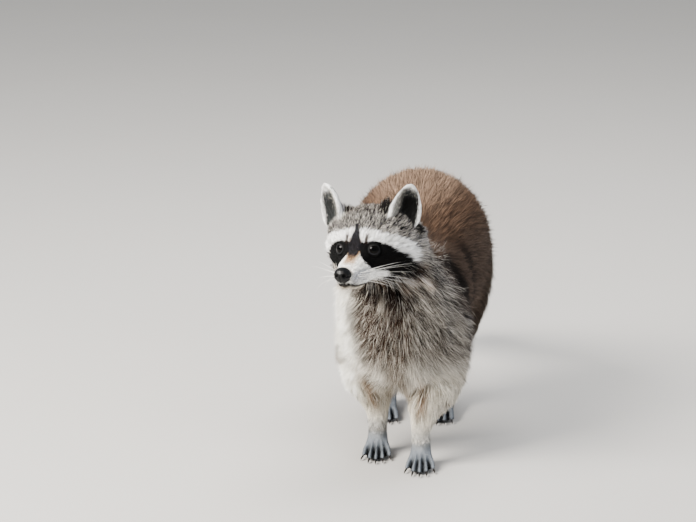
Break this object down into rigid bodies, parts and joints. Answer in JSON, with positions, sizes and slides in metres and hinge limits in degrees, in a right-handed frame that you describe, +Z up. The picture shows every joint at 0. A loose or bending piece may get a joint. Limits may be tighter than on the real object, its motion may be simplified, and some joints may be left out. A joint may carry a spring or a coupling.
{
  "type": "raccoon",
  "caption": "A still, life-size raccoon standing on all fours with its head turned to one side and its ringed tail held low behind.",
  "frame": {"origin": "on the floor, under the middle of the whole animal's box", "axes": "+Z up, the animal faces -Y, +X is its left"},
  "size_m": [0.1914, 0.738, 0.3474],
  "materials": {
    "back": "long rufous brown guard hair with dark tips",
    "breast": "long grizzled grey-brown hair",
    "head": "short grizzled hair with a black mask and white brows",
    "muzzle": "very short white hair",
    "leg": "cream and grey hair",
    "foot": "very short grey hair over dark skin",
    "tail": "bushy hair with dark rings",
    "ear": "short pale hair with a white rim",
    "eye": "wet and glossy dark brown",
    "nose": "moist black bare skin",
    "claw": "dark horn"
  },
  "bodies": {
    "root": {"belly": "back", "chest": "breast", "claw_fore_left_1": "claw", "claw_fore_left_2": "claw", "claw_fore_left_3": "claw", "claw_fore_left_4": "claw", "claw_fore_left_5": "claw", "claw_fore_right_1": "claw", "claw_fore_right_2": "claw", "claw_fore_right_3": "claw", "claw_fore_right_4": "claw", "claw_fore_right_5": "claw", "claw_hind_left_1": "claw", "claw_hind_left_2": "claw", "claw_hind_left_3": "claw", "claw_hind_left_4": "claw", "claw_hind_left_5": "claw", "claw_hind_right_1": "claw", "claw_hind_right_2": "claw", "claw_hind_right_3": "claw", "claw_hind_right_4": "claw", "claw_hind_right_5": "claw", "ear_left": "ear", "ear_right": "ear", "eye_left": "eye", "eye_right": "eye", "forefoot_left": "foot", "forefoot_right": "foot", "foreleg_lower_left": "leg", "foreleg_lower_right": "leg", "foreleg_upper_left": "leg", "foreleg_upper_right": "leg", "head": "head", "hindfoot_left": "foot", "hindfoot_right": "foot", "hindleg_lower_left": "leg", "hindleg_lower_right": "leg", "hindleg_upper_left": "leg", "hindleg_upper_right": "leg", "lower_jaw": "muzzle", "muzzle": "muzzle", "neck": "breast", "nose": "nose", "rump": "back", "tail_1": "tail", "tail_2": "tail", "tail_3": "tail", "tail_4": "tail"}
  },
  "joints": []
}
